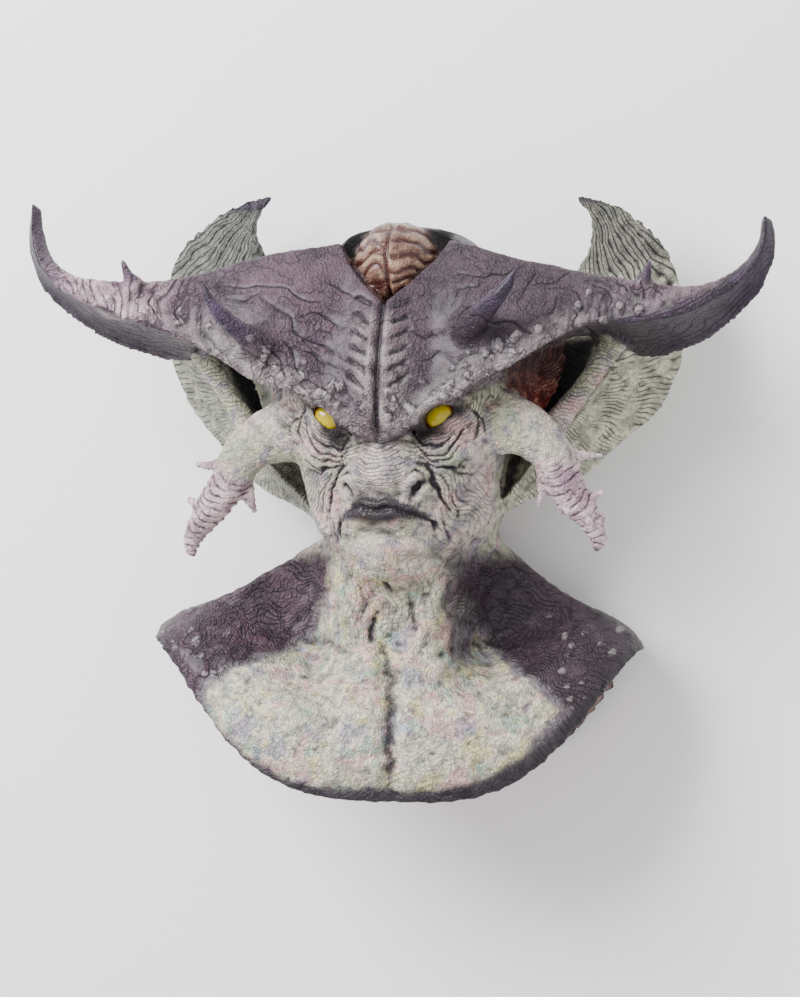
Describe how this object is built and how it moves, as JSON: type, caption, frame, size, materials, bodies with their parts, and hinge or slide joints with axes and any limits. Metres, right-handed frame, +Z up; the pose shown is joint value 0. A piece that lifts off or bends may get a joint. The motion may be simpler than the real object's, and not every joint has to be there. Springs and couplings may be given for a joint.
{
  "type": "horned monster mask",
  "caption": "Full-overhead horned monster mask with swept crest, fan ears, cheek spurs, thorns, exposed brain, scowling face, neck and chest bib; hollow, lying on its back",
  "frame": {"origin": "on the floor under the middle of the mask's bounding box, the mask lying on its back", "axes": "+X to the right as the face is seen, along the horns' span; +Y from the chest to the crown; +Z up, out of the face"},
  "size_m": [0.7354, 0.5942, 0.2774],
  "materials": {
    "skin": "painted latex, dark purple crest and shoulders, pale grey-green face and chest with dark wash in the wrinkles",
    "eye_gloss": "clear-coated yellow half-round eyes"
  },
  "bodies": {
    "root": {"mask_skin": "skin", "eye_left": "eye_gloss", "eye_right": "eye_gloss"}
  },
  "joints": []
}
